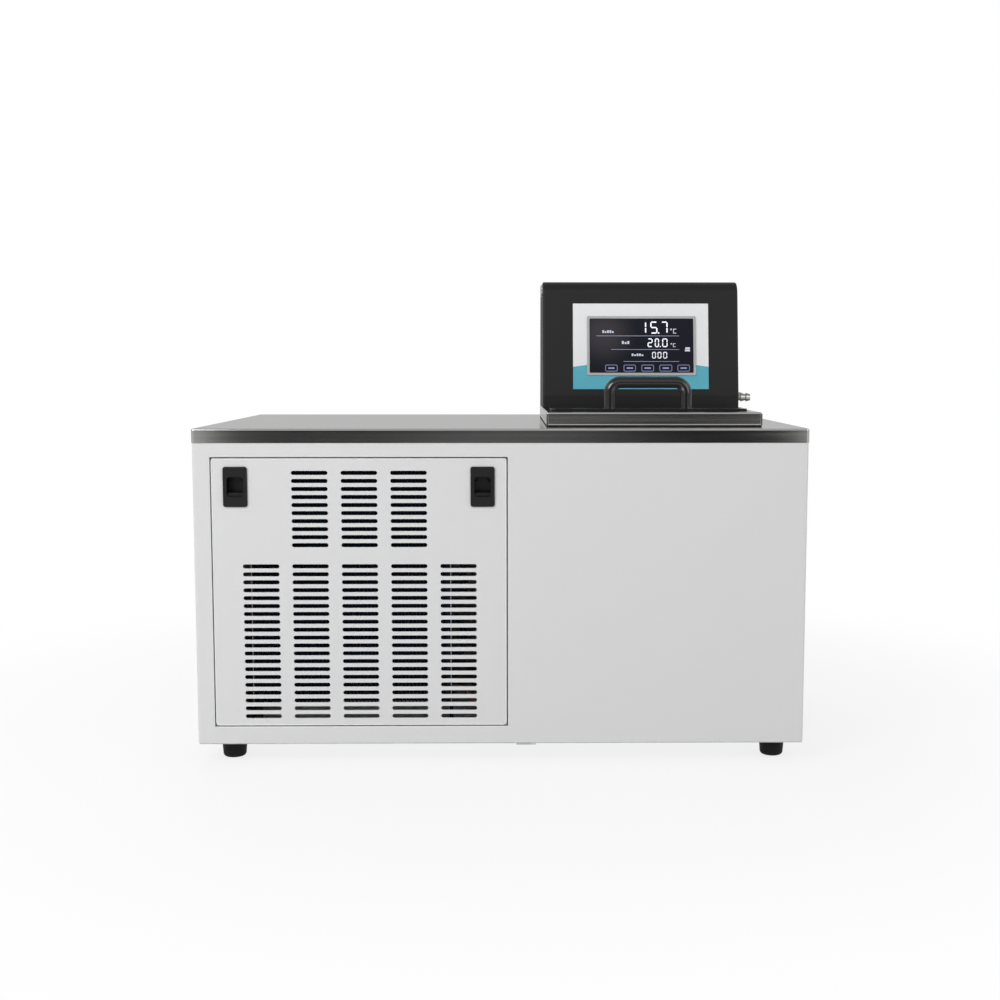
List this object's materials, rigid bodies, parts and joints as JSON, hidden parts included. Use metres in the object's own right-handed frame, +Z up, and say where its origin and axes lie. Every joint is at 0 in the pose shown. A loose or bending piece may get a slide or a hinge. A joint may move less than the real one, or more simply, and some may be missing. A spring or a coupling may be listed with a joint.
{
  "type": "constant temperature bath",
  "caption": "Floor-standing refrigerated water bath: white cabinet with slotted panel, steel worktop, covered tank with lid, black control hood.",
  "frame": {"origin": "bottom centre of the bounding box, on the plane of the four feet", "axes": "+X to the right along the cabinet's length, -Y towards the user, +Z up"},
  "size_m": [0.8, 0.557, 0.6457],
  "materials": {
    "black_gloss": "glossy black moulding",
    "black_iron": "black enamelled shell",
    "black_plastic": "satin black moulding",
    "black_sheet": "satin black powder coat",
    "board": "green laminate",
    "brass": "plain brass",
    "bright_steel": "turned stainless steel",
    "copper": "copper tube",
    "display_glass": "dark display surface",
    "fins": "dark blue coated fins",
    "foam": "rigid insulating foam",
    "print_film": "white film with a teal field",
    "red_plastic": "dipped red plastic",
    "rubber": "matt black rubber",
    "stainless": "brushed stainless sheet",
    "steel_screw": "plated steel",
    "white_sheet": "smooth white powder coat",
    "zinc_sheet": "zinc coated sheet"
  },
  "bodies": {
    "cabinet": {"base_pan": "zinc_sheet", "bath_lid": "stainless", "bath_tank": "stainless", "cabinet_shell": "white_sheet", "compressor": "black_iron", "compressor_grommets": "rubber", "condenser": "fins", "condenser_line": "copper", "control_board": "board", "control_hood": "black_sheet", "cover_tray": "stainless", "discharge_line": "copper", "display_bezel": "bright_steel", "display_label": "print_film", "display_screen": "display_glass", "drain_pipe": "bright_steel", "drain_valve": "brass", "evaporator_coil": "bright_steel", "fan_motor": "black_iron", "fan_shroud": "zinc_sheet", "filter_drier": "copper", "foot_front_left": "rubber", "foot_front_right": "rubber", "foot_rear_left": "rubber", "foot_rear_right": "rubber", "handle_screws": "steel_screw", "hood_back": "black_sheet", "hood_gasket": "rubber", "hood_screws": "steel_screw", "immersion_heater": "bright_steel", "latch_case_left": "black_plastic", "latch_case_right": "black_plastic", "lid_handle": "black_gloss", "lid_seal": "rubber", "lid_skirt": "stainless", "liquid_line": "copper", "louvre_panel": "white_sheet", "outlet_nozzle": "bright_steel", "outlet_pipe": "bright_steel", "partition": "zinc_sheet", "power_button_case": "bright_steel", "power_inlet": "black_plastic", "pump_housing": "bright_steel", "pump_motor": "black_iron", "rear_panel": "white_sheet", "rear_screws": "steel_screw", "return_nozzle": "bright_steel", "return_pipe": "bright_steel", "suction_line": "copper", "tank_cradle": "zinc_sheet", "tank_insulation": "foam", "temperature_probe": "bright_steel", "tray_gasket": "rubber", "worktop": "stainless"},
    "latch_left": {"latch_slide_left": "black_plastic"},
    "latch_right": {"latch_slide_right": "black_plastic"},
    "button": {"power_button_cap": "bright_steel"},
    "fan": {"fan_rotor": "black_plastic"},
    "pump_rotor": {"pump_shaft": "bright_steel"},
    "lever": {"drain_lever": "red_plastic"}
  },
  "joints": [
    {"name": "latch_left_slide", "type": "slide", "parent": "cabinet", "child": "latch_left", "axis": [0, 0, -1], "range_m": [0, 0.008], "stiffness_N_per_m": 400, "springref_m": -0.002},
    {"name": "latch_right_slide", "type": "slide", "parent": "cabinet", "child": "latch_right", "axis": [0, 0, -1], "range_m": [0, 0.008], "stiffness_N_per_m": 400, "springref_m": -0.002},
    {"name": "power_button_press", "type": "slide", "parent": "cabinet", "child": "button", "axis": [1, 0, 0], "range_m": [0, 0.002], "stiffness_N_per_m": 800, "springref_m": -0.001},
    {"name": "fan_spin", "type": "hinge", "parent": "cabinet", "child": "fan", "pos_m": [-0.1992, -0.15675, 0.23], "axis": [0, 1, 0], "continuous": true},
    {"name": "pump_spin", "type": "hinge", "parent": "cabinet", "child": "pump_rotor", "pos_m": [0.1585, 0.04725, 0.4617], "axis": [0, 0, 1], "continuous": true},
    {"name": "drain_lever_turn", "type": "hinge", "parent": "cabinet", "child": "lever", "pos_m": [0.27, 0.23745, 0.11], "axis": [0, 0, 1], "range_deg": [0, 90]}
  ]
}
